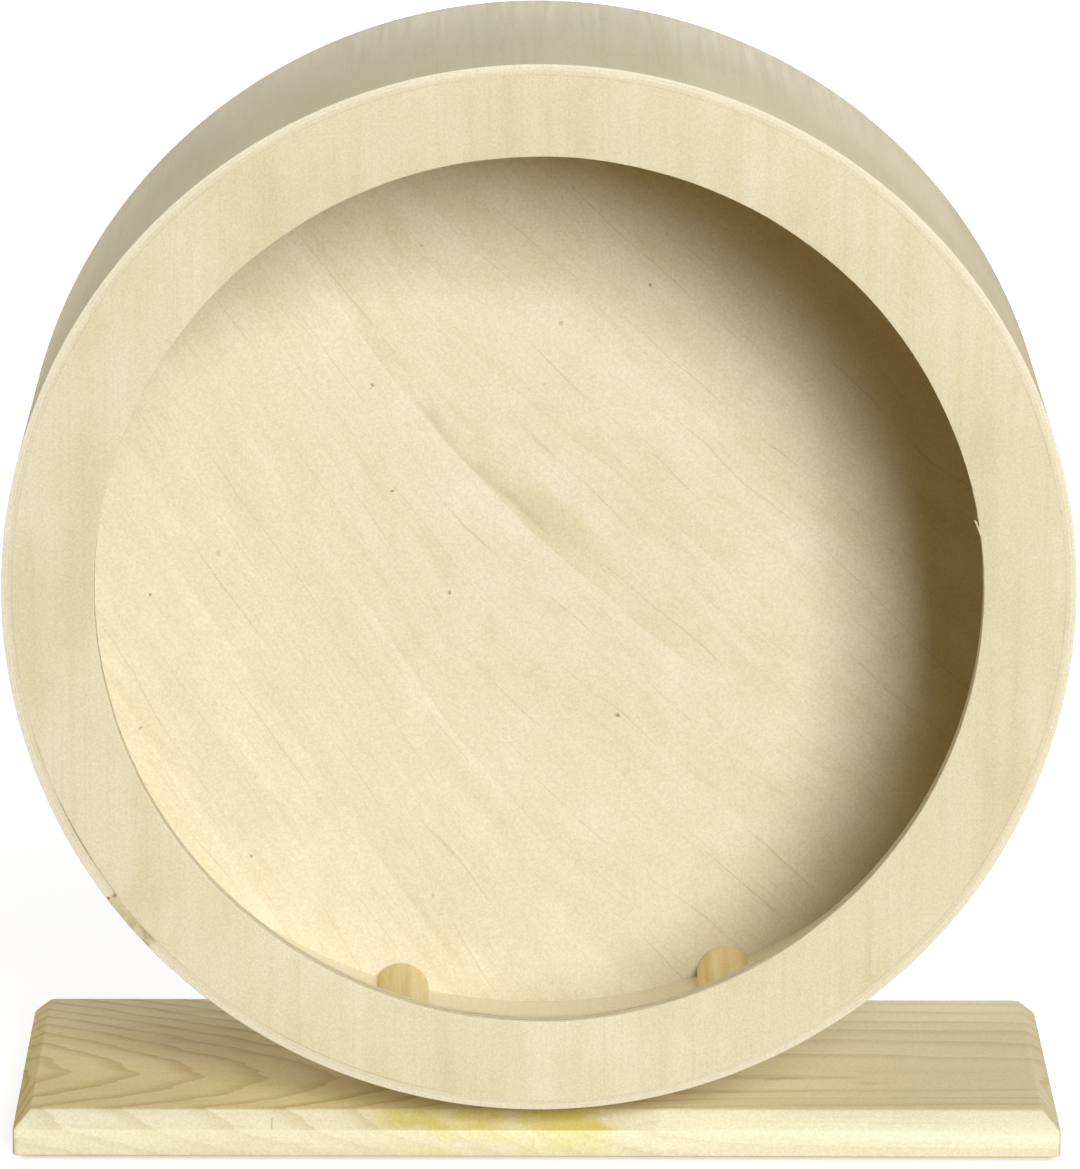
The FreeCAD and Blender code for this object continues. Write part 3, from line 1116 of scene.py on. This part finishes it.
def make_camera():
    """The camera at the photograph's place, with its long lens."""
    photo_height = 1169
    focal_pixels = 8082.2
    yaw = -0.369 * DEGREE
    pitch = 13.601 * DEGREE
    roll = 0.212 * DEGREE
    aside = -13.4 * MM
    before_drum = 2116.8 * MM
    above_axis = 515.1 * MM
    camera = linked("camera", bpy.data.cameras.new("camera"))
    camera.data.lens = camera.data.sensor_width * focal_pixels / photo_height
    level = Vector((math.cos(yaw), math.sin(yaw), 0))
    ahead = Vector((-math.sin(yaw) * math.cos(pitch), math.cos(yaw) * math.cos(pitch), -math.sin(pitch)))
    overhead = level.cross(ahead)
    right = level * math.cos(roll) + overhead * math.sin(roll)
    up = overhead * math.cos(roll) - level * math.sin(roll)
    turned_to = Matrix((right, up, -ahead)).transposed().to_4x4()
    place = Vector((aside, drum_front - before_drum, axis_z + above_axis))
    camera.matrix_world = Matrix.Translation(place) @ turned_to
    bpy.context.scene.camera = camera


def lamp(name, azimuth, height, distance, width, tall, power):
    """A soft oblong lamp that faces the drum.

    azimuth and height are in degrees, and azimuth runs from the front towards +X."""
    light = bpy.data.lights.new(name, "AREA")
    light.shape = "RECTANGLE"
    light.size = width
    light.size_y = tall
    light.energy = power
    turn = azimuth * DEGREE
    rise = height * DEGREE
    out = Vector((math.sin(turn) * math.cos(rise), -math.cos(turn) * math.cos(rise), math.sin(rise)))
    thing = linked(name, light)
    thing.location = Vector((0, 0, axis_z)) + out * distance
    thing.rotation_euler = out.to_track_quat("Z", "Y").to_euler()


def make_world():
    """White where it is seen, and otherwise a weak warm light all round."""
    warm = (0.02, 0.01, 0.002, 1)
    world = bpy.data.worlds.new("studio")
    bpy.context.scene.world = world
    tree = Tree(world)
    tree.feed(tree.nodes["Background"].inputs["Color"], tree.mix(tree.seen(), warm, WHITE))


def make_floor():
    """A white floor, with a faint contact shade before the base, that throws a little warm light up."""
    reach = 8
    below = -0.05 * MM
    shade_ahead = 5 * MM
    shade_from = -20 * MM
    shade_full = -10 * MM
    shade_end = 4 * MM
    white_from = 0.6
    near_glow = (0.8, 0.8, 0.8, 1)
    contact_glow = (0.46, 0.38, 0.27, 1)
    near_bounce = (0.3, 0.22, 0.11, 1)
    far_bounce = (0.15, 0.09, 0.03, 1)
    seen_colour = (0.4, 0.4, 0.4, 1)
    mesh = bpy.data.meshes.new("floor")
    spots = [(-reach, -reach, below), (reach, -reach, below), (reach, reach, below), (-reach, reach, below)]
    mesh.from_pydata(spots, [], [(0, 1, 2, 3)])
    floor = linked("floor", mesh)
    look = Look("floor")
    seen = look.seen()
    x, y, _ = look.parts()
    before = look.minus(base_low.y, y)
    within = look.ramp(look.math("ABSOLUTE", x), base_high.x, base_high.x - shade_end)
    in_front = look.times(look.ramp(before, shade_ahead, 0), look.ramp(before, shade_from, shade_full))
    near = look.mix(look.times(in_front, within), near_glow, contact_glow)
    away = look.oval(look.place, (0, 0, 0), (1, 1, 1))
    glow = look.mix(look.ramp(away, base_high.x, white_from), near, WHITE)
    look.feed(look.shader.inputs["Emission Color"], glow)
    look.feed(look.shader.inputs["Emission Strength"], seen)
    bounce = look.mix(look.ramp(away, base_high.x, 2 * base_high.x), near_bounce, far_bounce)
    look.colour = look.mix(seen, bounce, seen_colour)
    mesh.materials.append(look.finish(0.9, specular=0))


front_ring()
back_disc()
rim_strip()
rung_material = rung_wood()
for node in sorted(name for name in frame["nodes"] if name.startswith("rung_")):
    rung(node, rung_material)
base_board()
upright_post()

steel = zinc_steel()
plastic = nylon()
post_screws(steel)
axle(steel)
for node in ("front_washer", "rear_washer"):
    washer(node, steel)
lock_nut(steel, plastic)
shown_as_built = {"front_bush": plastic, "rear_bush": plastic, "plate_screws": steel}
for node, material in shown_as_built.items():
    frame["nodes"][node].data.materials.clear()
    frame["nodes"][node].data.materials.append(material)

make_camera()
make_world()
make_floor()
lamp("key", azimuth=16.6, height=20, distance=3.5, width=1.15, tall=1.5, power=127)
lamp("back", azimuth=178, height=5, distance=3, width=1.2, tall=0.7, power=45)
lamp("top", azimuth=180, height=80, distance=1.6, width=1.4, tall=1.4, power=3.7)
lamp("left", azimuth=-100, height=6, distance=2, width=1.2, tall=0.8, power=17.5)
lamp("right", azimuth=100, height=15, distance=2, width=1.2, tall=0.9, power=5.5)

bpy.context.scene.view_settings.view_transform = "Standard"
